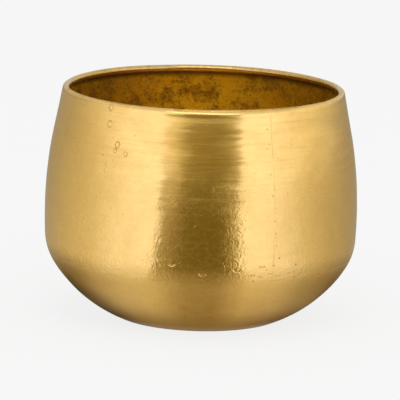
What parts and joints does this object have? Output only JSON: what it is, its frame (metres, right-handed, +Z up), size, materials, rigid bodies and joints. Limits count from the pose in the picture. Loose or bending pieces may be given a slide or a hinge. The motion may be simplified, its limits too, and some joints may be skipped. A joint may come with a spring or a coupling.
{
  "type": "cachepot",
  "caption": "Bulbous brass cachepot with a dished base, rounded shoulder and wired rim, which holds a nursery pot out of sight",
  "frame": {"origin": "on the floor, at the pot's axis, at the middle of the flat that it stands on", "axes": "+Z up along the pot's axis, -Y towards the viewer of the picture, +X to that viewer's right"},
  "size_m": [0.31, 0.31, 0.23],
  "materials": {
    "sheet_brass": "hand-burnished sheet with an antique patina, fine level scratches, small pits and hammer marks",
    "brazing_metal": "brass filler, ground flush and burnished, with pits and scratches",
    "rim_wire_brass": "drawn wire, hidden in the curled rim"
  },
  "bodies": {
    "root": {"side_wall": "sheet_brass", "base_dish": "sheet_brass", "side_seam": "brazing_metal", "shoulder_seam": "brazing_metal", "rim_wire": "rim_wire_brass"}
  },
  "joints": []
}
